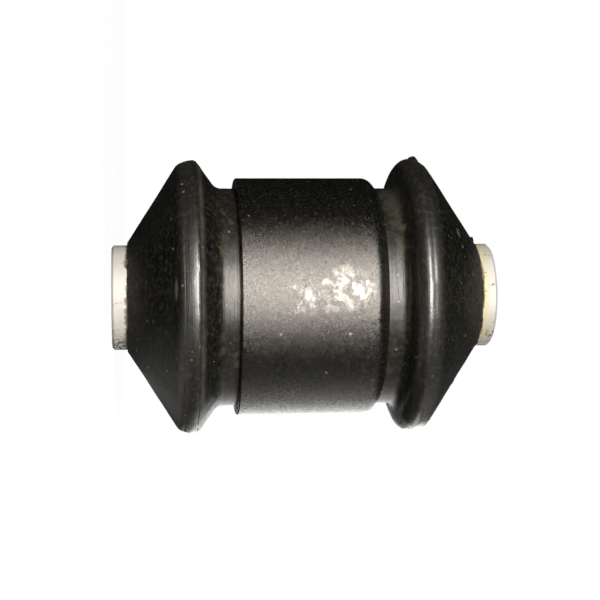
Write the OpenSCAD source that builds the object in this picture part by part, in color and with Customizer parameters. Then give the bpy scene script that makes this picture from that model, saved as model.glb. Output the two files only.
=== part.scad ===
// Pivot arm bushing: a steel bolt sleeve, a black outer sleeve and the rubber body
// moulded and bonded between them. It stands on the lower end of the bolt sleeve.
// Every piece is an outline of [radius, height] points turned about the Z axis.

/* [Inner sleeve] */
// Diameter of the bolt bore
bore_d = 12.2; // [10:0.1:14]
// Outside diameter of the inner sleeve
sleeve_d = 18.6; // [17:0.1:20]
// Length of the inner sleeve between its end faces
sleeve_l = 67.8; // [62:0.2:76]
// Chamfer on the outer rims of the inner sleeve
rim_chamfer = 0.4; // [0.1:0.1:0.8]
// Chamfer at the mouths of the bolt bore
mouth_chamfer = 0.5; // [0.1:0.1:0.8]

/* [Outer sleeve] */
// Outside diameter of the outer sleeve
shell_d = 42.4; // [40:0.1:45]
// Wall thickness of the outer sleeve
shell_wall = 1.8; // [1:0.1:2.4]
// Straight length of the outer sleeve, from its square end to the rolled-in end
shell_l = 22.6; // [18:0.1:24]
// Distance of the square end below the middle of the inner sleeve
shell_drop = 12.1; // [10:0.1:13]
// Angle at which the upper end is rolled in
roll_angle = 52; // [35:1:60]
// Inside radius of the roll
roll_bend = 0.2; // [0.2:0.1:0.8]
// Edge break on the square end
edge_break = 0.2; // [0.1:0.1:0.6]

/* [Lower lip] */
// Diameter over the crest of the lower lip
lower_lip_d = 48.8; // [47:0.1:52]
// Distance of the lower crest below the middle of the inner sleeve
lower_crest_drop = 19.4; // [17.5:0.1:20.5]
// Rounding of the lower crest
lower_crest_r = 0.5; // [0.3:0.1:1.2]
// Step from the lower crest in to the shoulder beside it, along the radius
lower_shoulder_step = 0.4; // [0.1:0.1:1.2]
// Distance of the shoulder outside the lower crest
lower_shoulder_gap = 1.6; // [1:0.1:2.5]
// Rounding of the shoulder
lower_shoulder_r = 2; // [1.5:0.1:3]
// Angle between the axis and the inner slope of the lower lip
lower_slope = 54; // [42:1:65]
// Fillet between the lower lip and its groove
lower_fillet = 2; // [0.3:0.1:2.8]
// Rim of rubber round the inner sleeve at the lower nose
lower_nose_rim = 0.7; // [0.5:0.1:1.5]
// Length of inner sleeve standing out below the lower nose
lower_standout = 2.8; // [1:0.1:4]

/* [Upper lip] */
// Diameter over the crest of the upper lip
upper_lip_d = 49; // [47:0.1:52]
// Distance of the upper crest above the middle of the inner sleeve
upper_crest_rise = 19.5; // [18.5:0.1:21]
// Rounding of the upper crest
upper_crest_r = 2.8; // [2:0.1:4]
// Angle between the axis and the inner slope of the upper lip
upper_slope = 84; // [65:1:88]
// Fillet between the upper lip and its groove
upper_fillet = 1.6; // [0.3:0.1:2]
// Rim of rubber round the inner sleeve at the upper nose
upper_nose_rim = 0.3; // [0.3:0.1:1.5]
// Length of inner sleeve standing out above the upper nose
upper_standout = 2.6; // [1:0.1:4]

/* [Rubber details] */
// Rounding of both noses
nose_r = 0.2; // [0.1:0.1:0.3]
// Width of the crevice at the square end of the outer sleeve
crevice_w = 0.3; // [0.2:0.1:1]
// Depth of that crevice
crevice_depth = 0.6; // [0.2:0.1:1]

/* [Hidden] */
$fn = 128;
arc_steps = 10;

bore_r = bore_d / 2;
sleeve_r = sleeve_d / 2;
shell_r = shell_d / 2;
mid_z = sleeve_l / 2;

// The groove floors run flush with the inner wall of the outer sleeve
groove_r = shell_r - shell_wall;

// Outer sleeve: centre of the roll, and the two corners of its tip
shell_low = mid_z - shell_drop;
shell_top = shell_low + shell_l;
roll_r = roll_bend + shell_wall;
roll_c = [shell_r - roll_r, shell_top];
roll_run = (shell_wall - roll_r * (1 - cos(roll_angle))) / sin(roll_angle);
tip_out = roll_c + roll_r * heading(roll_angle) + roll_run * heading(roll_angle + 90);
tip_in = tip_out - shell_wall * heading(roll_angle);

// Centres of the rounded corners of the rubber outline
lower_crest_z = mid_z - lower_crest_drop;
lower_nose_c = [sleeve_r + lower_nose_rim - nose_r, lower_standout + nose_r];
lower_shoulder_c = [lower_lip_d / 2 - lower_shoulder_step - lower_shoulder_r,
                    lower_crest_z - lower_shoulder_gap];
lower_crest_c = [lower_lip_d / 2 - lower_crest_r, lower_crest_z];
upper_crest_c = [upper_lip_d / 2 - upper_crest_r, mid_z + upper_crest_rise];
upper_nose_c = [sleeve_r + upper_nose_rim - nose_r, sleeve_l - upper_standout - nose_r];

// Directions that the rubber outline faces on its straight stretches
lower_cone_face = face_between(lower_nose_c, nose_r, lower_shoulder_c, lower_shoulder_r);
lower_land_face = face_between(lower_shoulder_c, lower_shoulder_r, lower_crest_c, lower_crest_r);
upper_cone_face = face_between(upper_crest_c, upper_crest_r, upper_nose_c, nose_r);

// Unit vector at an angle from the radius
function heading(angle) = [cos(angle), sin(angle)];

// Points of an arc about a centre, between two directions
function arc(centre, radius, from, to) =
    [for (i = [0:arc_steps]) centre + radius * heading(from + (to - from) * i / arc_steps)];

// Direction faced by the line that touches one circle after another on its outer side
function face_between(c1, r1, c2, r2) =
    atan2(c2.y - c1.y, c2.x - c1.x) + asin((r1 - r2) / norm(c2 - c1)) - 90;

// Centre of the fillet between a groove floor and the slope that touches a crest
function fillet_centre(crest_c, crest_r, face, radius) =
    [groove_r + radius,
     (crest_c * heading(face) + crest_r + radius - (groove_r + radius) * cos(face)) / sin(face)];

// Points of that fillet, between two directions faced by the rubber
function fillet(crest_c, crest_r, face, radius, from, to) =
    arc(fillet_centre(crest_c, crest_r, face, radius), radius, from + 180, to + 180);

// Lower nose, cone, shoulder, crest and inner slope, from the bottom up
function lower_lip() = concat(
    [[sleeve_r, lower_standout]],
    arc(lower_nose_c, nose_r, -90, lower_cone_face),
    arc(lower_shoulder_c, lower_shoulder_r, lower_cone_face, lower_land_face),
    arc(lower_crest_c, lower_crest_r, lower_land_face, lower_slope),
    fillet(lower_crest_c, lower_crest_r, lower_slope, lower_fillet, lower_slope, 0));

// Crevice, then the rubber behind the outer sleeve and its rolled-in end
function shell_seat() = concat(
    [[groove_r, shell_low - crevice_w],
     [groove_r - crevice_depth, shell_low - crevice_w],
     [groove_r - crevice_depth, shell_low],
     [groove_r, shell_low]],
    arc(roll_c, roll_bend, 0, roll_angle),
    [tip_in, tip_out]);

// Inner slope, rounded crest, cone and nose of the upper lip
function upper_lip() = concat(
    fillet(upper_crest_c, upper_crest_r, -upper_slope, upper_fillet, 0, -upper_slope),
    arc(upper_crest_c, upper_crest_r, -upper_slope, upper_cone_face),
    arc(upper_nose_c, nose_r, upper_cone_face, 90),
    [[sleeve_r, sleeve_l - upper_standout]]);

// Steel tube clamped on the pivot bolt
module inner_sleeve() {
    color([0.80, 0.77, 0.72])
        rotate_extrude()
            polygon([
                [bore_r + mouth_chamfer, 0],
                [sleeve_r - rim_chamfer, 0],
                [sleeve_r, rim_chamfer],
                [sleeve_r, sleeve_l - rim_chamfer],
                [sleeve_r - rim_chamfer, sleeve_l],
                [bore_r + mouth_chamfer, sleeve_l],
                [bore_r, sleeve_l - mouth_chamfer],
                [bore_r, mouth_chamfer]]);
}

// Rubber moulded round the inner sleeve and into the outer sleeve
module rubber_body() {
    color([0.10, 0.10, 0.09])
        rotate_extrude()
            polygon(concat(lower_lip(), shell_seat(), upper_lip()));
}

// Thin steel shell, cut square below and rolled into the rubber above
module outer_sleeve() {
    color([0.16, 0.15, 0.14])
        rotate_extrude()
            polygon(concat(
                [[groove_r, shell_low],
                 [shell_r - edge_break, shell_low],
                 [shell_r, shell_low + edge_break]],
                arc(roll_c, roll_r, 0, roll_angle),
                [tip_out, tip_in],
                arc(roll_c, roll_bend, roll_angle, 0)));
}

inner_sleeve();
rubber_body();
outer_sleeve();
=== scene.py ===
import math

import bpy
from bpy.props import FloatProperty, FloatVectorProperty, IntProperty, PointerProperty
from mathutils import Matrix, Vector


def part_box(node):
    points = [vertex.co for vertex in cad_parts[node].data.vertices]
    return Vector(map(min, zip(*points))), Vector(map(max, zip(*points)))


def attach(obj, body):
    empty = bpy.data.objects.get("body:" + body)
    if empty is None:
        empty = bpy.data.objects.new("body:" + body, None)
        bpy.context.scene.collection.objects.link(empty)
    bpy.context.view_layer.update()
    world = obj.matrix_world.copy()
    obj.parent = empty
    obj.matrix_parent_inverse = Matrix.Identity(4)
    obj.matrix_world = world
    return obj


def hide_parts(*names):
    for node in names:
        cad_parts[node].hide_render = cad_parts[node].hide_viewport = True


bl_info = {
    "name": "Pivot Arm Bushing",
    "version": (1, 0, 0),
    "blender": (4, 5, 0),
    "location": "View3D > Sidebar > Bushing",
    "description": "Finishes a rubber and steel pivot arm bushing and sets it on a studio floor",
    "category": "Object",
}

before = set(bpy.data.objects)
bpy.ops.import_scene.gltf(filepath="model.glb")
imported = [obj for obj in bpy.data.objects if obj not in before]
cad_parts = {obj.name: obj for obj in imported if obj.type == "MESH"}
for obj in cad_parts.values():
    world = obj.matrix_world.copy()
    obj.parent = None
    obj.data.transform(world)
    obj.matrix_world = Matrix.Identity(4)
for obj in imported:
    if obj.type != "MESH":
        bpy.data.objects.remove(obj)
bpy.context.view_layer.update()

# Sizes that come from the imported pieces, in metres
RUBBER_LOW, RUBBER_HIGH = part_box("rubber_body")
SHELL_LOW, SHELL_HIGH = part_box("outer_sleeve")
SLEEVE_LOW, SLEEVE_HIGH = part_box("inner_sleeve")
SLEEVE_R = SLEEVE_HIGH.x
SHELL_R = SHELL_HIGH.x
MIDDLE_Z = (SLEEVE_LOW.z + SLEEVE_HIGH.z) / 2
MM = 0.001


def on_skin(radius, turn, height):
    """Point at a radius, a turn from +X in degrees and a height, the lengths in millimetres."""
    turn = math.radians(turn)
    return (radius * math.cos(turn) * MM, radius * math.sin(turn) * MM, height * MM)


# Flash nib on the upper lip, burr on the upper cone and torn tag at its nose:
# turn from +X, height, rise, and reach round and along the part
NIBS = (
    (math.radians(186), 53.5 * MM, 0.55 * MM, 0.9 * MM, 0.5 * MM),
    (math.radians(184), 54.3 * MM, 0.85 * MM, 2.0 * MM, 1.2 * MM),
    (math.radians(352), 61.0 * MM, 0.60 * MM, 1.4 * MM, 0.9 * MM),
    (math.radians(188), 65.0 * MM, 0.80 * MM, 1.1 * MM, 0.6 * MM),
)
# Brown stains, pale scuffs and a dusty patch on the rubber, one bright speck and a worn patch on
# the outer sleeve, and a speckled patch on the inner sleeve: centre and reach
RUBBER_STAINS = (
    (on_skin(19.6, 306, 21.2), (1.0 * MM, 1.0 * MM, 0.9 * MM)),
    (on_skin(19.8, 234, 49.8), (0.9 * MM, 0.9 * MM, 0.7 * MM)),
)
RUBBER_SCUFFS = (
    (on_skin(22.6, 267, 10.95), (2.4 * MM, 1.2 * MM, 0.42 * MM)),
    (on_skin(17.3, 232, 59.8), (1.1 * MM, 1.1 * MM, 1.0 * MM)),
)
RUBBER_DUST = (
    (on_skin(18.8, 212, 49.0), (8.5 * MM, 8.5 * MM, 2.2 * MM)),
)
SHELL_SPECKS = (
    (on_skin(21.2, 287.7, 39.9), (0.36 * MM, 0.36 * MM, 0.36 * MM)),
)
SHELL_WEAR = (
    (on_skin(21.2, 271, 38.0), (5.6 * MM, 9.0 * MM, 12.0 * MM)),
)
SLEEVE_STAINS = (
    (on_skin(9.3, 335, 1.5), (5.0 * MM, 5.0 * MM, 2.6 * MM)),
)
# Swell of the rubber between the mould's edges, in millimetres above a crest: start, end and swell
LOWER_SWELLS = ((-2.1, 0.0, 0.12), (0.42, 1.5, 0.08))
UPPER_SWELLS = ((-2.6, 0.36, 0.24),)
SWELL_BAND = 3.0 * MM
# Sunk parting line beside each crest, in millimetres above it: start, end and share of the depth
LOWER_PARTING = (0.14, 0.42, 1.0)
UPPER_PARTING = (0.36, 0.70, 0.6)
# Pale strip on the flank, a painted sheen beside the lower crest, in millimetres above that crest: middle
# and half width
SHEEN_STRIP_MIDDLE, SHEEN_STRIP_HALF = 0.95, 0.6
# Sheen of the crests and the groove floors: how far it reaches, and its share on a floor
CREST_FADE = 1.8 * MM
FLOOR_FADE = 1.6 * MM
FLOOR_SHARE = 0.42
# Dirt in the grooves: how far above a floor it stays full, and how far it then fades
DIRT_FULL = 0.6 * MM
DIRT_FADE = 2.4 * MM
# Torn rubber edges on the inner sleeve: how thick and how long they are
TEAR_THICK = 0.9 * MM
TEAR_LONG = 0.5 * MM
# Stretch beside the lower crest where the rings lie closer
FINE_REACH = 2.3 * MM
# Angle from which an edge stays crisp, and the gap that counts as touching
CRISP_ANGLE = math.radians(30)
TOUCH = 0.001 * MM


# Reading the turned outlines


def turned_outline(node):
    """Closed outline of a turned piece as (radius, height) points, anticlockwise, read along its seam."""
    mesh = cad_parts[node].data
    spots = [(round(math.hypot(v.co.x, v.co.y), 6), round(v.co.z, 6)) for v in mesh.vertices]
    turns = [round(math.atan2(v.co.y, v.co.x), 4) for v in mesh.vertices]
    spots_at = {}
    for spot, turn in zip(spots, turns):
        spots_at.setdefault(turn, set()).add(spot)
    seam = max(spots_at, key=lambda turn: len(spots_at[turn]))
    links = {}
    for edge in mesh.edges:
        a, b = edge.vertices
        if turns[a] == turns[b] == seam and spots[a] != spots[b]:
            links.setdefault(spots[a], set()).add(spots[b])
            links.setdefault(spots[b], set()).add(spots[a])
    if not links or any(len(near) != 2 for near in links.values()):
        raise RuntimeError(f"the outline of {node} isn't one closed loop")
    walk = [min(links)]
    ahead = min(links[walk[0]])
    while ahead != walk[0]:
        walk.append(ahead)
        ahead = next(spot for spot in links[ahead] if spot != walk[-2])
    area = sum(a[0] * b[1] - b[0] * a[1] for a, b in zip(walk, walk[1:] + walk[:1]))
    return walk if area > 0 else walk[::-1]


def finer_outline(outline, step, shows, fine=None):
    """The outline with its open stretches cut to the step, or to a third of it where fine says so."""
    points = []
    for a, b in zip(outline, outline[1:] + outline[:1]):
        pieces = 1
        if shows(a) and shows(b):
            share = 3 if fine and fine(a) and fine(b) else 1
            pieces = max(1, math.ceil(share * math.dist(a, b) / step))
        for i in range(pieces):
            points.append(tuple(p + (q - p) * i / pieces for p, q in zip(a, b)))
    return points


# Node helpers, shared by shapes and materials


def add(tree, kind, values=None, **settings):
    """New node with its settings made and its inputs filled: a socket is linked, the rest are constants."""
    node = tree.nodes.new(kind)
    for name, value in settings.items():
        setattr(node, name, value)
    for key, value in (values or {}).items():
        if isinstance(value, bpy.types.NodeSocket):
            tree.links.new(value, node.inputs[key])
        else:
            node.inputs[key].default_value = value
    return node


def calc(tree, operation, *terms):
    """Result of one Math node on sockets or plain numbers."""
    return add(tree, "ShaderNodeMath", dict(enumerate(terms)), operation=operation).outputs[0]


def vector_calc(tree, operation, *terms):
    """Vector result of one Vector Math node on sockets or plain vectors."""
    return add(tree, "ShaderNodeVectorMath", dict(enumerate(terms)), operation=operation).outputs["Vector"]


def dot(tree, vector, axis):
    """Length of the vector along an axis."""
    return add(tree, "ShaderNodeVectorMath", {0: vector, 1: axis}, operation="DOT_PRODUCT").outputs["Value"]


def scaled(tree, vector, amount):
    """The vector times a number."""
    values = {0: vector, "Scale": amount}
    return add(tree, "ShaderNodeVectorMath", values, operation="SCALE").outputs["Vector"]


def ramp(tree, value, low, high, out_low=0.0, out_high=1.0):
    """Value carried smoothly from the range low to high into the range out_low to out_high."""
    values = {"Value": value, "From Min": low, "From Max": high, "To Min": out_low, "To Max": out_high}
    node = add(tree, "ShaderNodeMapRange", values, interpolation_type="SMOOTHSTEP", clamp=True)
    return node.outputs["Result"]


def noise(tree, place, scale, detail=2.0, roughness=0.5, stretch=None):
    """Noise from 0 to 1 at the place; stretch multiplies each axis before the scale."""
    if stretch:
        place = vector_calc(tree, "MULTIPLY", place, stretch)
    values = {"Vector": place, "Scale": scale, "Detail": detail, "Roughness": roughness}
    return add(tree, "ShaderNodeTexNoise", values).outputs["Fac"]


# Shapes


def turning_tree(name, marks, nibs):
    """Geometry Nodes tree that turns an outline round Z, makes its skin uneven and raises the nibs."""
    tree = bpy.data.node_groups.new(name, "GeometryNodeTree")
    for title, kind in (
        ("Outline", "NodeSocketGeometry"),
        ("Segments", "NodeSocketInt"),
        ("Waviness", "NodeSocketFloat"),
        ("Wave Scale", "NodeSocketFloat"),
        ("Ragged Edge", "NodeSocketFloat"),
        ("Flash Height", "NodeSocketFloat"),
        ("Material", "NodeSocketMaterial"),
    ):
        tree.interface.new_socket(name=title, in_out="INPUT", socket_type=kind)
    tree.interface.new_socket(name="Piece", in_out="OUTPUT", socket_type="NodeSocketGeometry")
    given = tree.nodes.new("NodeGroupInput").outputs
    count = add(tree, "GeometryNodeAttributeDomainSize", {"Geometry": given["Outline"]}, component="MESH")
    points = count.outputs["Point Count"]
    rows = calc(tree, "ADD", points, 1)
    columns = calc(tree, "ADD", given["Segments"], 1)
    grid = add(tree, "GeometryNodeMeshGrid", {"Vertices X": columns, "Vertices Y": rows})

    index = add(tree, "GeometryNodeInputIndex").outputs["Index"]
    column = calc(tree, "FLOOR", calc(tree, "DIVIDE", calc(tree, "ADD", index, 0.5), rows))
    row = calc(tree, "SUBTRACT", index, calc(tree, "MULTIPLY", column, rows))
    ring = calc(tree, "MODULO", row, points)
    turn = calc(tree, "MULTIPLY", calc(tree, "DIVIDE", column, given["Segments"]), math.tau)

    def from_outline(field, data_type):
        """What the outline holds at this vertex's ring."""
        values = {"Geometry": given["Outline"], "Value": field, "Index": ring}
        return add(tree, "GeometryNodeSampleIndex", values, data_type=data_type).outputs["Value"]

    def mark(title):
        """A named mark, as a field."""
        return add(tree, "GeometryNodeInputNamedAttribute", {"Name": title}).outputs["Attribute"]

    spot = add(tree, "GeometryNodeInputPosition").outputs["Position"]
    flat = from_outline(spot, "FLOAT_VECTOR")
    turned = add(tree, "ShaderNodeVectorRotate", {"Vector": flat, "Angle": turn}, rotation_type="Z_AXIS")
    shape = grid.outputs["Mesh"]
    for title in marks:
        values = {"Geometry": shape, "Name": title, "Value": from_outline(mark(title), "FLOAT")}
        shape = add(tree, "GeometryNodeStoreNamedAttribute", values, domain="POINT").outputs["Geometry"]
    values = {"Geometry": shape, "Position": turned.outputs["Vector"]}
    shape = add(tree, "GeometryNodeSetPosition", values).outputs["Geometry"]
    values = {"Geometry": shape, "Distance": TOUCH}
    shape = add(tree, "GeometryNodeMergeByDistance", values).outputs["Geometry"]

    # Moulding waves along the normal, ragged ends along the axis, parting lines and nibs off the axis
    swell = calc(tree, "SUBTRACT", noise(tree, spot, given["Wave Scale"], 2.0), 0.5)
    swell = calc(tree, "MULTIPLY", calc(tree, "MULTIPLY", swell, mark("skin")), given["Waviness"])
    normal = add(tree, "GeometryNodeInputNormal").outputs["Normal"]
    tear = calc(tree, "SUBTRACT", noise(tree, spot, 700.0, 3.0), 0.5)
    tear = calc(tree, "MULTIPLY", calc(tree, "MULTIPLY", tear, mark("edge")), given["Ragged Edge"])
    lift = ramp(tree, noise(tree, spot, 260.0, 3.0), 0.40, 0.62, 0.25, 1.0)
    lift = calc(tree, "MULTIPLY", calc(tree, "MULTIPLY", lift, mark("flash")), given["Flash Height"])
    outward = vector_calc(tree, "NORMALIZE", vector_calc(tree, "MULTIPLY", spot, (1.0, 1.0, 0.0)))
    for angle, height, rise, around, along in nibs:
        side = (-math.sin(angle) / around, math.cos(angle) / around, 0.0)
        facing = (math.cos(angle), math.sin(angle), 0.0)
        across = calc(tree, "POWER", dot(tree, spot, side), 2.0)
        gap = calc(tree, "DIVIDE", calc(tree, "SUBTRACT", dot(tree, spot, (0.0, 0.0, 1.0)), height), along)
        reach = calc(tree, "SQRT", calc(tree, "ADD", across, calc(tree, "POWER", gap, 2.0)))
        hill = calc(tree, "MULTIPLY", ramp(tree, reach, 0.0, 1.0, rise, 0.0), mark("skin"))
        hill = calc(tree, "MULTIPLY", hill, calc(tree, "GREATER_THAN", dot(tree, spot, facing), 0.0))
        lift = calc(tree, "ADD", lift, hill)
    along = add(tree, "ShaderNodeCombineXYZ", {"Z": tear}).outputs["Vector"]
    offset = vector_calc(tree, "ADD", scaled(tree, normal, swell), along)
    offset = vector_calc(tree, "ADD", offset, scaled(tree, outward, lift))
    shape = add(tree, "GeometryNodeSetPosition", {"Geometry": shape, "Offset": offset}).outputs["Geometry"]
    shape = add(tree, "GeometryNodeSetShadeSmooth", {"Geometry": shape}).outputs["Geometry"]
    shape = add(tree, "GeometryNodeRealizeInstances", {"Geometry": shape}).outputs["Geometry"]
    values = {"Geometry": shape, "Material": given["Material"]}
    shape = add(tree, "GeometryNodeSetMaterial", values).outputs["Geometry"]
    tree.links.new(shape, tree.nodes.new("NodeGroupOutput").inputs["Piece"])
    return tree


def marked_outline(name, points, marks):
    """Object with the outline's points in the XZ plane and one number per point for each mark."""
    mesh = bpy.data.meshes.new(name)
    mesh.from_pydata([(r, 0.0, z) for r, z in points], [], [])
    for title, values in marks.items():
        mesh.attributes.new(title, "FLOAT", "POINT").data.foreach_set("value", values)
    holder = bpy.data.objects.new(name, mesh)
    bpy.context.scene.collection.objects.link(holder)
    return holder


def grown_piece(holder, tree, inputs):
    """Runs the tree on the holder with these inputs and leaves the result as its plain mesh."""
    modifier = holder.modifiers.new("shape", "NODES")
    modifier.node_group = tree
    for item in tree.interface.items_tree:
        if item.in_out == "INPUT" and item.name in inputs:
            modifier[item.identifier] = inputs[item.name]
    graph = bpy.context.evaluated_depsgraph_get()
    mesh = bpy.data.meshes.new_from_object(holder.evaluated_get(graph), depsgraph=graph)
    if not mesh.polygons:
        raise RuntimeError(f"{holder.name} came out empty")
    holder.modifiers.clear()
    outline = holder.data
    holder.data = mesh
    mesh.name = holder.name
    bpy.data.meshes.remove(outline)
    return holder


def turned_piece(name, points, marks, nibs=(), **inputs):
    """A piece turned from its outline by its own Geometry Nodes tree, with crisp edges kept."""
    tree = turning_tree(f"turn_{name}", marks, nibs)
    piece = grown_piece(marked_outline(name, points, marks), tree, inputs)
    piece.data.set_sharp_from_angle(angle=CRISP_ANGLE)
    return piece


def plain_marks(points, shows):
    """Marks of a piece that has no torn edge and no parting line."""
    none = [0.0] * len(points)
    return {"skin": [float(shows(p)) for p in points], "edge": none, "flash": none}


def set_on_frame(piece, slot, *nodes):
    """The piece rides with the part and stands for the nodes, which are hidden; the slot is not used."""
    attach(piece, "root")
    if nodes:
        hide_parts(*nodes)


# Finishes


def surface_finish(name, **constants):
    """New material with a Principled surface that holds these constants."""
    material = bpy.data.materials.new(name)
    material.use_nodes = True
    tree = material.node_tree
    surface = tree.nodes["Principled BSDF"]
    for socket, value in constants.items():
        surface.inputs[socket.replace("_", " ")].default_value = value
    return material, tree, surface


def own_place(tree):
    """The piece's own coordinates, in metres."""
    return add(tree, "ShaderNodeTexCoord").outputs["Object"]


def axis_distance(tree, place):
    """How far the place is from the part's axis."""
    across = vector_calc(tree, "MULTIPLY", place, (1.0, 1.0, 0.0))
    return add(tree, "ShaderNodeVectorMath", {0: across}, operation="LENGTH").outputs["Value"]


def mark_value(tree, title):
    """A mark that the shape carries."""
    return add(tree, "ShaderNodeAttribute", attribute_name=title).outputs["Fac"]


def layered(tree, under, over, amount):
    """Colour of one layer showing over another by the amount."""
    values = {0: amount, 6: under, 7: over}
    return add(tree, "ShaderNodeMix", values, data_type="RGBA").outputs[2]


def relief(tree, height, depth, under=None):
    """Normal with the height's relief, depth in metres, over the relief under it."""
    values = {"Height": height, "Distance": depth}
    if under:
        values["Normal"] = under
    return add(tree, "ShaderNodeBump", values).outputs["Normal"]


def specks(tree, place, scale, size, share):
    """Dots of varied size and strength: size is their reach in cells, share the cells that hold one."""
    cells = add(tree, "ShaderNodeTexVoronoi", {"Vector": place, "Scale": scale})
    pick = add(tree, "ShaderNodeSeparateColor", {"Color": cells.outputs["Color"]}).outputs
    reach = calc(tree, "MULTIPLY", calc(tree, "ADD", pick[1], 0.3), size)
    inside = calc(tree, "LESS_THAN", cells.outputs["Distance"], reach)
    chosen = calc(tree, "GREATER_THAN", pick[0], 1.0 - share)
    strength = calc(tree, "POWER", pick[2], 2.0)
    return calc(tree, "MULTIPLY", calc(tree, "MULTIPLY", inside, chosen), strength)


def stain(tree, place, centre, reach, ragged):
    """Soft spot round a centre, 1 in its middle: reach is its half size, ragged a noise or 0.5 for none."""
    away = vector_calc(tree, "DIVIDE", vector_calc(tree, "SUBTRACT", place, centre), reach)
    gap = add(tree, "ShaderNodeVectorMath", {0: away}, operation="LENGTH").outputs["Value"]
    gap = calc(tree, "ADD", gap, ramp(tree, ragged, 0.3, 0.7, -0.5, 0.5))
    return ramp(tree, gap, 0.35, 1.0, 1.0, 0.0)


def rubber_finish(look):
    """Black moulded rubber with flow streaks, a dusty bloom, dirt in the grooves and pale specks."""
    material, tree, surface = surface_finish(
        "moulded_rubber", IOR=1.55, Specular_Tint=look.sheen,
        Coat_Roughness=0.42, Coat_IOR=2.5, Coat_Tint=look.sheen,
    )
    place = own_place(tree)
    patches = noise(tree, place, 110.0, 4.0, 0.6)
    grain = noise(tree, place, 2600.0, 3.0, 0.6)
    lumps = noise(tree, place, 560.0, 4.0, 0.6)
    streaks = noise(tree, place, 1.0, 3.0, 0.6, stretch=(90.0, 90.0, 2100.0))
    lines = noise(tree, place, 1.0, 2.0, 0.5, stretch=(70.0, 70.0, 5200.0))
    groove = mark_value(tree, "groove")
    rubbed = mark_value(tree, "rubbed")

    bloom = ramp(tree, patches, 0.42, 0.70, 0.0, 0.7)
    bloom = calc(tree, "MAXIMUM", bloom, calc(tree, "MULTIPLY", groove, 0.55))
    colour = layered(tree, look.colour, look.bloom, bloom)
    drawn = ramp(tree, streaks, 0.52, 0.72, 0.0, 0.6)
    colour = layered(tree, colour, look.bloom, drawn)
    soil = calc(tree, "MULTIPLY", groove, ramp(tree, lumps, 0.50, 0.70, 0.0, 0.7))
    for centre, reach in RUBBER_STAINS:
        soil = calc(tree, "MAXIMUM", soil, stain(tree, place, centre, reach, lumps))
    colour = layered(tree, colour, look.dirt, soil)
    dust = ramp(tree, noise(tree, place, 1250.0, 4.0, 0.7), 0.46, 0.70, 0.0, 0.70)
    for centre, reach in RUBBER_DUST:
        thick = stain(tree, place, centre, reach, lumps)
        thick = calc(tree, "MULTIPLY", thick, ramp(tree, grain, 0.30, 0.65, 0.5, 1.0))
        dust = calc(tree, "MAXIMUM", dust, thick)
    colour = layered(tree, colour, look.dust, dust)
    dots = specks(tree, place, 640.0, 0.13, 0.42)
    fine_dots = calc(tree, "MULTIPLY", specks(tree, place, 1250.0, 0.17, 0.30), 0.30)
    dots = calc(tree, "MAXIMUM", dots, fine_dots)
    for centre, reach in RUBBER_SCUFFS:
        scuff = calc(tree, "MULTIPLY", stain(tree, place, centre, reach, 0.5), 0.30)
        dots = calc(tree, "MAXIMUM", dots, scuff)
    # Pale strip on the flank beside the lower crest: a painted sheen
    film = calc(tree, "MULTIPLY", mark_value(tree, "film"), ramp(tree, lumps, 0.30, 0.65, 0.10, 0.26))
    dots = calc(tree, "MAXIMUM", dots, film)
    colour = layered(tree, colour, look.specks, dots)
    tree.links.new(colour, surface.inputs["Base Color"])

    rough = ramp(tree, patches, 0.30, 0.70, 0.35, 0.42)
    rough = calc(tree, "ADD", rough, ramp(tree, grain, 0.30, 0.70, -0.05, 0.05))
    rough = calc(tree, "ADD", rough, calc(tree, "MULTIPLY", soil, 0.15))
    rough = calc(tree, "ADD", rough, calc(tree, "MULTIPLY", rubbed, 0.14))
    rough = calc(tree, "SUBTRACT", rough, ramp(tree, rubbed, 0.78, 1.0, 0.0, 0.30))
    radius = axis_distance(tree, place)
    rough = calc(tree, "ADD", rough, ramp(tree, radius, SLEEVE_R, SLEEVE_R + 7.0 * MM, 0.35, 0.0))
    tree.links.new(rough, surface.inputs["Roughness"])
    tree.links.new(ramp(tree, rubbed, 0.0, 1.0, 0.06, 1.0), surface.inputs["Coat Weight"])
    worn = ramp(tree, rubbed, 0.80, 0.97, 1.0, 0.35)
    streak_depth = calc(tree, "MULTIPLY", ramp(tree, rubbed, 0.0, 0.5, 0.020 * MM, 0.050 * MM), worn)
    line_depth = calc(tree, "MULTIPLY", ramp(tree, rubbed, 0.0, 0.5, 0.010 * MM, 0.048 * MM), worn)
    normal = relief(tree, lumps, calc(tree, "MULTIPLY", worn, 0.050 * MM))
    normal = relief(tree, streaks, streak_depth, normal)
    normal = relief(tree, lines, line_depth, normal)
    normal = relief(tree, grain, 0.022 * MM, normal)
    tree.links.new(normal, surface.inputs["Normal"])
    tree.links.new(normal, surface.inputs["Coat Normal"])
    return material


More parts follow.
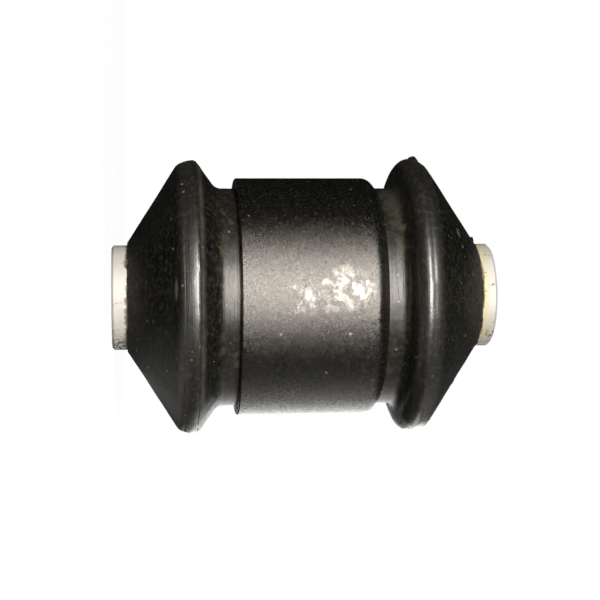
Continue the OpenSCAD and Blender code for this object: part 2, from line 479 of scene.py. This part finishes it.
def shell_finish(look):
    """Black-coated steel with a worn patch towards its rolled end, scratches round it and dust."""
    material, tree, surface = surface_finish("black_coating", IOR=2.35, Specular_Tint=look.sheen)
    place = own_place(tree)
    patches = noise(tree, place, 190.0, 5.0, 0.65)
    mottle = noise(tree, place, 1500.0, 3.0, 0.6)
    fine = noise(tree, place, 16000.0, 2.0)
    drawn = noise(tree, place, 1.0, 3.0, 0.6, stretch=(160.0, 160.0, 3600.0))
    gate = noise(tree, place, 210.0, 2.0)
    scratch = calc(tree, "MULTIPLY", ramp(tree, drawn, 0.62, 0.70), ramp(tree, gate, 0.52, 0.62))
    bloom = ramp(tree, patches, 0.45, 0.72, 0.0, 0.7)
    colour = layered(tree, look.colour, look.bloom, bloom)
    colour = layered(tree, colour, look.scratch, calc(tree, "MULTIPLY", scratch, 0.5))
    dust = ramp(tree, noise(tree, place, 1900.0, 4.0, 0.75), 0.50, 0.68, 0.0, 0.6)
    colour = layered(tree, colour, look.dust, dust)
    dots = specks(tree, place, 600.0, 0.12, 0.26)
    fine_dots = calc(tree, "MULTIPLY", specks(tree, place, 1250.0, 0.17, 0.30), 0.30)
    dots = calc(tree, "MAXIMUM", dots, fine_dots)
    for centre, reach in SHELL_SPECKS:
        dots = calc(tree, "MAXIMUM", dots, stain(tree, place, centre, reach, 0.5))
    colour = layered(tree, colour, look.specks, dots)
    tree.links.new(colour, surface.inputs["Base Color"])

    rubbed = ramp(tree, patches, 0.56, 0.70, 0.0, 0.4)
    for centre, reach in SHELL_WEAR:
        rubbed = calc(tree, "MAXIMUM", rubbed, stain(tree, place, centre, reach, patches))
    flecks = noise(tree, place, 1.0, 5.0, 0.70, stretch=(520.0, 520.0, 560.0))
    rubbed = calc(tree, "MULTIPLY", rubbed, ramp(tree, flecks, 0.36, 0.66))
    rough = ramp(tree, patches, 0.30, 0.70, 0.25, 0.22)
    rough = calc(tree, "SUBTRACT", rough, calc(tree, "MULTIPLY", rubbed, 0.10))
    rough = calc(tree, "ADD", rough, ramp(tree, mottle, 0.35, 0.65, -0.05, 0.05))
    rough = calc(tree, "ADD", rough, calc(tree, "MULTIPLY", scratch, 0.15))
    tree.links.new(rough, surface.inputs["Roughness"])
    normal = relief(tree, mottle, ramp(tree, rubbed, 0.1, 0.8, 0.020 * MM, 0.012 * MM))
    normal = relief(tree, drawn, 0.010 * MM, normal)
    depth = ramp(tree, rubbed, 0.1, 0.9, 0.040 * MM, 0.015 * MM)
    normal = relief(tree, fine, depth, normal)
    tree.links.new(normal, surface.inputs["Normal"])
    return material


def steel_finish(look):
    """Dull plated steel with turning marks, grime beside the rubber and brown spots."""
    material, tree, surface = surface_finish("dull_plated_steel", Metallic=0.25)
    place = own_place(tree)
    height = add(tree, "ShaderNodeSeparateXYZ", {"Vector": place}).outputs["Z"]
    cloud = noise(tree, place, 240.0, 4.0, 0.6)
    fine = noise(tree, place, 1500.0, 3.0)
    turning = noise(tree, place, 1.0, 2.0, 0.6, stretch=(180.0, 180.0, 6000.0))
    tint = ramp(tree, cloud, 0.40, 0.68, 0.0, 0.7)
    colour = layered(tree, look.colour, look.tint, tint)
    low_gap = calc(tree, "SUBTRACT", RUBBER_LOW.z, height)
    high_gap = calc(tree, "SUBTRACT", height, RUBBER_HIGH.z)
    gap = calc(tree, "MAXIMUM", low_gap, high_gap)
    wide = calc(tree, "MULTIPLY_ADD", calc(tree, "LESS_THAN", height, MIDDLE_Z), 0.6, 0.4)
    reach = calc(tree, "MULTIPLY", ramp(tree, cloud, 0.38, 0.70, 0.1 * MM, 1.3 * MM), wide)
    near = calc(tree, "DIVIDE", gap, reach)
    yellowed = ramp(tree, high_gap, 0.3 * MM, 1.7 * MM, 0.75, 0.0)
    outside = calc(tree, "GREATER_THAN", axis_distance(tree, place), SLEEVE_R - 0.5 * MM)
    yellowed = calc(tree, "MULTIPLY", yellowed, calc(tree, "GREATER_THAN", height, MIDDLE_Z))
    yellowed = calc(tree, "MULTIPLY", yellowed, outside)
    colour = layered(tree, colour, look.film, yellowed)
    grime = ramp(tree, near, 0.2, 1.0, 0.8, 0.0)
    colour = layered(tree, colour, look.grime, grime)
    spots = ramp(tree, calc(tree, "MULTIPLY", fine, cloud), 0.36, 0.42, 0.0, 0.8)
    for centre, reach in SLEEVE_STAINS:
        patch = stain(tree, place, centre, reach, cloud)
        speckle = calc(tree, "MULTIPLY", patch, ramp(tree, fine, 0.45, 0.54, 0.0, 0.85))
        spots = calc(tree, "MAXIMUM", spots, speckle)
    colour = layered(tree, colour, look.grime, spots)
    tree.links.new(colour, surface.inputs["Base Color"])

    dirt = calc(tree, "MAXIMUM", grime, spots)
    rough = ramp(tree, turning, 0.3, 0.7, 0.62, 0.74)
    rough = calc(tree, "ADD", rough, calc(tree, "MULTIPLY", dirt, 0.25))
    tree.links.new(rough, surface.inputs["Roughness"])
    normal = relief(tree, turning, 0.005 * MM)
    normal = relief(tree, fine, 0.008 * MM, normal)
    tree.links.new(normal, surface.inputs["Normal"])
    return material


# Settings


def length(name, description, default):
    """A size in metres."""
    return FloatProperty(name=name, description=description, default=default, precision=5, unit="LENGTH")


def colour(name, description, default):
    """A linear colour."""
    return FloatVectorProperty(name=name, description=description, default=(*default, 1.0), size=4,
                               min=0.0, max=1.0, subtype="COLOR")


class RubberSettings(bpy.types.PropertyGroup):
    """Sizes and colours of the moulded rubber."""

    segments: IntProperty(name="Segments", description="Facets round the rubber", default=384, min=64)
    step: length("Step", "Longest stretch of the outline between two rings", 0.45 * MM)
    waviness: length("Waviness", "How far the moulded skin swells and sinks", 0.22 * MM)
    ragged: length("Ragged edge", "How far the edges on the inner sleeve wander", 0.9 * MM)
    flash: length("Parting depth", "Depth of the sunk parting lines beside the crests", 0.22 * MM)
    colour: colour("Rubber", "Colour of the clean rubber", (0.0026, 0.0032, 0.0019))
    bloom: colour("Bloom", "Colour of the dusty film", (0.0090, 0.0100, 0.0056))
    dust: colour("Dust", "Colour of the fine dust on the dark faces", (0.062, 0.063, 0.047))
    dirt: colour("Dirt", "Colour of the dirt in the grooves", (0.085, 0.068, 0.040))
    specks: colour("Specks", "Colour of the dust specks", (0.42, 0.40, 0.36))
    sheen: colour("Sheen", "Tint of the sheen", (1.0, 0.94, 0.86))


class ShellSettings(bpy.types.PropertyGroup):
    """Sizes and colours of the outer sleeve."""

    segments: IntProperty(name="Segments", description="Facets round the sleeve", default=320, min=64)
    step: length("Step", "Longest stretch of the outline between two rings", 0.6 * MM)
    waviness: length("Waviness", "How far the wall is out of true", 0.05 * MM)
    colour: colour("Coating", "Colour of the black coating", (0.0026, 0.0027, 0.0022))
    bloom: colour("Bloom", "Colour of the rubbed patches", (0.0085, 0.0084, 0.0070))
    dust: colour("Dust", "Colour of the fine dust", (0.055, 0.057, 0.042))
    scratch: colour("Scratches", "Colour of the scratches", (0.12, 0.115, 0.11))
    specks: colour("Specks", "Colour of the dust specks", (0.50, 0.48, 0.44))
    sheen: colour("Sheen", "Tint of the sheen", (1.0, 0.95, 0.89))


class SleeveSettings(bpy.types.PropertyGroup):
    """Sizes and colours of the inner sleeve."""

    segments: IntProperty(name="Segments", description="Facets round the sleeve", default=224, min=64)
    step: length("Step", "Longest stretch of the outline between two rings", 0.8 * MM)
    waviness: length("Waviness", "How far the tube is out of true", 0.03 * MM)
    colour: colour("Steel", "Colour of the plated steel", (0.93, 0.90, 0.85))
    tint: colour("Tint", "Colour of the stained plating", (0.84, 0.79, 0.68))
    film: colour("Film", "Colour of the yellowed plating beside the upper lip", (0.92, 0.86, 0.52))
    grime: colour("Grime", "Colour of the dirt beside the rubber", (0.10, 0.065, 0.040))


class StageSettings(bpy.types.PropertyGroup):
    """Camera, lamps and floor."""

    lens: FloatProperty(name="Lens", description="Focal length on a 36 mm sensor",
                        default=86.43, unit="CAMERA")
    distance: length("Distance", "From the camera to the aim point", 0.260)
    aim_height: length("Aim height", "Height of the aim point on the axis", 33.6 * MM)
    aim_drop: length("Aim drop", "How far the aim lies below the axis in the picture", 0.70 * MM)
    yaw: FloatProperty(name="Yaw", description="Turn of the view towards the lower end",
                       default=math.radians(6.05), subtype="ANGLE")
    roll: FloatProperty(name="Roll", description="Turn of the part in the picture",
                        default=math.radians(0.51), subtype="ANGLE")
    floor_size: length("Floor size", "Side of the floor", 3.0)
    floor: colour("Floor", "Colour of the floor", (0.20, 0.20, 0.20))
    floor_glow: FloatProperty(name="Floor glow", description="White added round the part for the camera",
                              default=0.91)
    key_colour: colour("Key colour", "Colour of the key lamp", (1.0, 0.96, 0.91))
    key_power: FloatProperty(name="Key", description="Power of the key lamp", default=4.4, unit="POWER")
    rim_power: FloatProperty(name="Rim", description="Power of the rim lamp", default=0.3, unit="POWER")
    back_power: FloatProperty(name="Back", description="Power of the back lamp", default=0.8, unit="POWER")
    floor_sheen: FloatProperty(name="Floor sheen", description="Level of the near floor in the sheen",
                               default=0.30)
    in_sheen: FloatProperty(name="In sheen", description="Level of the backdrop in dull reflections",
                            default=0.008)
    ambient: FloatProperty(name="Ambient", description="Level of the light on the shaded side",
                           default=0.008)
    bounce: FloatProperty(name="Bounce", description="Level of the light from below and behind",
                          default=0.17)


# Pieces


class BUSHING_OT_rubber_body(bpy.types.Operator):
    """Turn the moulded rubber with its two lips, grooves, parting lines and torn edges"""

    bl_idname = "bushing.rubber_body"
    bl_label = "Rubber body"

    def execute(self, context):
        look = context.scene.bushing_rubber
        outline = turned_outline("rubber_body")
        shell = (SHELL_LOW.z - TOUCH, SHELL_HIGH.z + TOUCH)

        def shows(point):
            """Whether a point of the outline is on the open skin."""
            r, z = point
            return r > SLEEVE_R + TOUCH and not shell[0] <= z <= shell[1]

        low_tip = max((p for p in outline if p[1] < MIDDLE_Z), key=lambda p: p[0])
        high_tip = max((p for p in outline if p[1] > MIDDLE_Z), key=lambda p: p[0])

        def fuller(point):
            """The point moved out by the swell of the rubber between the mould's edges."""
            r, z = point
            for tip, swells in ((low_tip, LOWER_SWELLS), (high_tip, UPPER_SWELLS)):
                for low, high, swell in swells:
                    share = ((z - tip[1]) / MM - low) / (high - low)
                    if shows(point) and 0.0 < share < 1.0 and r > tip[0] - SWELL_BAND:
                        r += 4.0 * share * (1.0 - share) * swell * MM
            return r, z

        def fine(point):
            """Whether a point is beside the lower crest, where the rings lie closer."""
            return abs(point[1] - low_tip[1]) < FINE_REACH

        points = [fuller(p) for p in finer_outline(outline, look.step, shows, fine)]
        crest = max((p for p in points if p[1] < MIDDLE_Z), key=lambda p: p[0])
        upper_crest = max((p for p in points if p[1] > MIDDLE_Z), key=lambda p: p[0])
        floor_r = min(r for r, z in points if crest[1] < z < SHELL_LOW.z - 1.0 * MM)

        def ragged(point):
            """Share of the tearing: lower end down, upper end up."""
            if point[0] > SLEEVE_R + TEAR_THICK:
                return 0.0
            if abs(point[1] - RUBBER_LOW.z) < TEAR_LONG:
                return -1.0
            if abs(point[1] - RUBBER_HIGH.z) < TEAR_LONG:
                return 1.0
            return 0.0

        def flash(point):
            """Fine sunk line of the mould parting beside each crest."""
            for tip, (low, high, share) in ((crest, LOWER_PARTING), (upper_crest, UPPER_PARTING)):
                if shows(point) and low < (point[1] - tip[1]) / MM < high:
                    return -share
            return 0.0

        def rubbed(point):
            """Share of the dull sheen: full on the crests, part on the groove floors, none on the cones."""
            on_crest = max(1.0 - (tip[0] - point[0]) / CREST_FADE for tip in (crest, upper_crest))
            between = crest[1] < point[1] < upper_crest[1]
            on_floor = FLOOR_SHARE - abs(point[0] - floor_r) / FLOOR_FADE if between else 0.0
            return max(0.0, on_crest, on_floor)

        def groove(point):
            """Share of dirt, full on the groove floors."""
            if not crest[1] < point[1] < upper_crest[1]:
                return 0.0
            return min(1.0, max(0.0, 1.0 - (point[0] - floor_r - DIRT_FULL) / DIRT_FADE))

        def film(point):
            """Share of the pale strip painted on the flank beside the lower crest, a painted sheen."""
            away = (point[1] - crest[1]) / MM
            return max(0.0, 1.0 - abs(away - SHEEN_STRIP_MIDDLE) / SHEEN_STRIP_HALF) if shows(point) else 0.0

        marks = {
            "skin": [float(shows(p)) for p in points],
            "edge": [ragged(p) for p in points],
            "film": [film(p) for p in points],
            "flash": [flash(p) for p in points],
            "groove": [groove(p) for p in points],
            "rubbed": [rubbed(p) for p in points],
        }
        inputs = {"Segments": look.segments, "Waviness": look.waviness, "Wave Scale": 190.0,
                  "Ragged Edge": look.ragged, "Flash Height": look.flash, "Material": rubber_finish(look)}
        piece = turned_piece("moulded_rubber_body", points, marks, NIBS, **inputs)
        set_on_frame(piece, "rubber", "rubber_body")
        return {"FINISHED"}


class BUSHING_OT_outer_sleeve(bpy.types.Operator):
    """Turn the black outer sleeve with its rolled-in end"""

    bl_idname = "bushing.outer_sleeve"
    bl_label = "Outer sleeve"

    def execute(self, context):
        look = context.scene.bushing_shell
        outline = turned_outline("outer_sleeve")

        def shows(point):
            """Whether a point is on the outside of the wall."""
            return point[0] > SHELL_R - 0.02 * MM

        points = finer_outline(outline, look.step, shows)
        marks = plain_marks(points, shows)
        inputs = {"Segments": look.segments, "Waviness": look.waviness, "Wave Scale": 260.0,
                  "Material": shell_finish(look)}
        piece = turned_piece("black_outer_sleeve", points, marks, **inputs)
        set_on_frame(piece, "black_steel", "outer_sleeve")
        return {"FINISHED"}


class BUSHING_OT_inner_sleeve(bpy.types.Operator):
    """Turn the plated inner sleeve with its chamfered ends and bolt bore"""

    bl_idname = "bushing.inner_sleeve"
    bl_label = "Inner sleeve"

    def execute(self, context):
        look = context.scene.bushing_sleeve
        outline = turned_outline("inner_sleeve")

        def shows(point):
            """Whether a point is clear of the rubber."""
            return not RUBBER_LOW.z < point[1] < RUBBER_HIGH.z

        points = finer_outline(outline, look.step, lambda point: True)
        marks = plain_marks(points, shows)
        inputs = {"Segments": look.segments, "Waviness": look.waviness, "Wave Scale": 300.0,
                  "Material": steel_finish(look)}
        piece = turned_piece("plated_inner_sleeve", points, marks, **inputs)
        set_on_frame(piece, "plated_steel", "inner_sleeve")
        return {"FINISHED"}


# Stage

# Side and place of each lamp, in metres
KEY_LAMP = (0.36, (-0.075, -0.48, 0.045))
RIM_LAMP = (0.30, (0.44, 0.40, 0.05))
BACK_LAMP = (0.30, (0.20, 0.57, 0.10))
# Distance from the axis over which the floor turns white
WHITE_REACH = (0.10, 0.45)
# Near floor that shows in the sheen: where it starts to one side, and where it ends round the axis
SHEEN_SIDE = (1.0 * MM, 24.0 * MM)
SHEEN_REACH = (26.0 * MM, 48.0 * MM)
# Direction that the pale bounce comes from, and the share of it at which the bounce starts
BOUNCE_FROM = (0.90, 0.44, 0.0)
BOUNCE_START = 0.2
WHITE = (1.0, 1.0, 1.0, 1.0)
NEAR_BLACK = (0.01, 0.01, 0.01, 1.0)


def backdrop_rays(tree, in_sheen):
    """1 for rays that show the backdrop itself, and a smaller number for rays that show it in a sheen."""
    ray = add(tree, "ShaderNodeLightPath").outputs
    seen = calc(tree, "MAXIMUM", ray["Is Camera Ray"], ray["Is Transmission Ray"])
    return calc(tree, "MAXIMUM", seen, calc(tree, "MULTIPLY", ray["Is Glossy Ray"], in_sheen))


def studio_floor(look):
    """Pale floor that keeps the part's shadow and shows near white to the camera; in reflections its colour
    is near black, a painted dark reflection, and a patch beside the part glows only in reflections, a
    painted pale reflection.
    """
    material, tree, surface = surface_finish("studio_floor", Roughness=0.9)
    place = own_place(tree)
    away = axis_distance(tree, place)
    white = ramp(tree, away, *WHITE_REACH, look.floor_glow, 1.0)
    aside = dot(tree, place, (1.0, 0.0, 0.0))
    side = ramp(tree, aside, *SHEEN_SIDE, 0.0, look.floor_sheen)
    side = calc(tree, "MULTIPLY", side, ramp(tree, away, *SHEEN_REACH, 1.0, 0.0))
    glow = calc(tree, "MULTIPLY", backdrop_rays(tree, calc(tree, "ADD", side, look.in_sheen)), white)
    ray = add(tree, "ShaderNodeLightPath").outputs
    # In reflections the floor's colour turns near black: a painted dark reflection
    floor_colour_dark_in_reflections = layered(tree, look.floor, NEAR_BLACK, ray["Is Glossy Ray"])
    tree.links.new(floor_colour_dark_in_reflections, surface.inputs["Base Color"])
    surface.inputs["Emission Color"].default_value = WHITE
    tree.links.new(glow, surface.inputs["Emission Strength"])
    half = look.floor_size / 2
    mesh = bpy.data.meshes.new("studio_floor")
    corners = [(-half, -half, 0.0), (half, -half, 0.0), (half, half, 0.0), (-half, half, 0.0)]
    mesh.from_pydata(corners, [], [(0, 1, 2, 3)])
    mesh.materials.append(material)
    floor = bpy.data.objects.new("studio_floor", mesh)
    bpy.context.scene.collection.objects.link(floor)


def studio_camera(look):
    """Camera beside the standing part, turned so that the part lies across the picture."""
    right = Vector((0.0, -math.sin(look.yaw), math.cos(look.yaw)))
    up = Vector((-1.0, 0.0, 0.0))
    ahead = Vector((0.0, math.cos(look.yaw), math.sin(look.yaw)))
    aim = Vector((look.aim_drop, 0.0, look.aim_height))
    turned_right = right * math.cos(look.roll) - up * math.sin(look.roll)
    turned_up = up * math.cos(look.roll) + right * math.sin(look.roll)
    data = bpy.data.cameras.new("studio_camera")
    data.lens = look.lens
    data.clip_start = 0.01
    camera = bpy.data.objects.new("studio_camera", data)
    pose = Matrix((turned_right, turned_up, -ahead)).transposed().to_4x4()
    pose.translation = aim - ahead * look.distance
    camera.matrix_world = pose
    bpy.context.scene.collection.objects.link(camera)
    bpy.context.scene.camera = camera


def studio_lamp(name, power, side, place, target, tint=(1.0, 1.0, 1.0)):
    """Square soft lamp at the place, facing the target."""
    data = bpy.data.lights.new(name, "AREA")
    data.energy = power
    data.size = side
    data.color = tint
    lamp = bpy.data.objects.new(name, data)
    facing = (Vector(target) - Vector(place)).to_track_quat("-Z", "Y")
    lamp.matrix_world = Matrix.Translation(place) @ facing.to_matrix().to_4x4()
    bpy.context.scene.collection.objects.link(lamp)


def studio_world(look):
    """White backdrop to the camera; faint light on one side of the part, a pale bounce on the other."""
    world = bpy.data.worlds.new("studio_world")
    world.use_nodes = True
    tree = world.node_tree
    backdrop = tree.nodes["Background"]
    direction = add(tree, "ShaderNodeTexCoord").outputs["Generated"]
    facing = dot(tree, direction, BOUNCE_FROM)
    bounce = ramp(tree, facing, BOUNCE_START, 1.0, look.ambient, look.bounce)
    level = calc(tree, "MAXIMUM", backdrop_rays(tree, look.in_sheen), bounce)
    backdrop.inputs["Color"].default_value = WHITE
    tree.links.new(level, backdrop.inputs["Strength"])
    bpy.context.scene.world = world


class BUSHING_OT_stage(bpy.types.Operator):
    """Set up the floor, the lamps, the backdrop and the camera"""

    bl_idname = "bushing.stage"
    bl_label = "Stage"

    def execute(self, context):
        look = context.scene.bushing_stage
        context.scene.view_settings.view_transform = "Standard"
        centre = (0.0, 0.0, MIDDLE_Z)
        studio_camera(look)
        studio_lamp("key_lamp", look.key_power, *KEY_LAMP, centre, look.key_colour[:3])
        studio_lamp("rim_lamp", look.rim_power, *RIM_LAMP, centre)
        studio_lamp("back_lamp", look.back_power, *BACK_LAMP, centre)
        studio_world(look)
        studio_floor(look)
        return {"FINISHED"}


class BUSHING_PT_panel(bpy.types.Panel):
    """Sizes and colours of the bushing, with a button for each piece"""

    bl_idname = "BUSHING_PT_panel"
    bl_label = "Pivot arm bushing"
    bl_space_type = "VIEW_3D"
    bl_region_type = "UI"
    bl_category = "Bushing"

    def draw(self, context):
        for operator, settings in STEPS:
            box = self.layout.box()
            box.operator(operator.bl_idname)
            group = getattr(context.scene, settings)
            for name in group.bl_rna.properties.keys():
                if name not in ("rna_type", "name"):
                    box.prop(group, name)


# The operators in their order, each with the settings that it reads
STEPS = (
    (BUSHING_OT_stage, "bushing_stage"),
    (BUSHING_OT_rubber_body, "bushing_rubber"),
    (BUSHING_OT_outer_sleeve, "bushing_shell"),
    (BUSHING_OT_inner_sleeve, "bushing_sleeve"),
)
SETTINGS = {
    "bushing_stage": StageSettings,
    "bushing_rubber": RubberSettings,
    "bushing_shell": ShellSettings,
    "bushing_sleeve": SleeveSettings,
}


def register():
    """Register the settings, the operators and the panel."""
    for name, group in SETTINGS.items():
        bpy.utils.register_class(group)
        setattr(bpy.types.Scene, name, PointerProperty(type=group))
    for operator, settings in STEPS:
        bpy.utils.register_class(operator)
    bpy.utils.register_class(BUSHING_PT_panel)


def unregister():
    """Take the panel, the operators and the settings away again."""
    bpy.utils.unregister_class(BUSHING_PT_panel)
    for operator, settings in reversed(STEPS):
        bpy.utils.unregister_class(operator)
    for name, group in reversed(SETTINGS.items()):
        delattr(bpy.types.Scene, name)
        bpy.utils.unregister_class(group)


def main():
    """Make every piece and the stage."""
    register()
    for operator, settings in STEPS:
        category, name = operator.bl_idname.split(".")
        getattr(getattr(bpy.ops, category), name)()


if __name__ == "__main__":
    main()
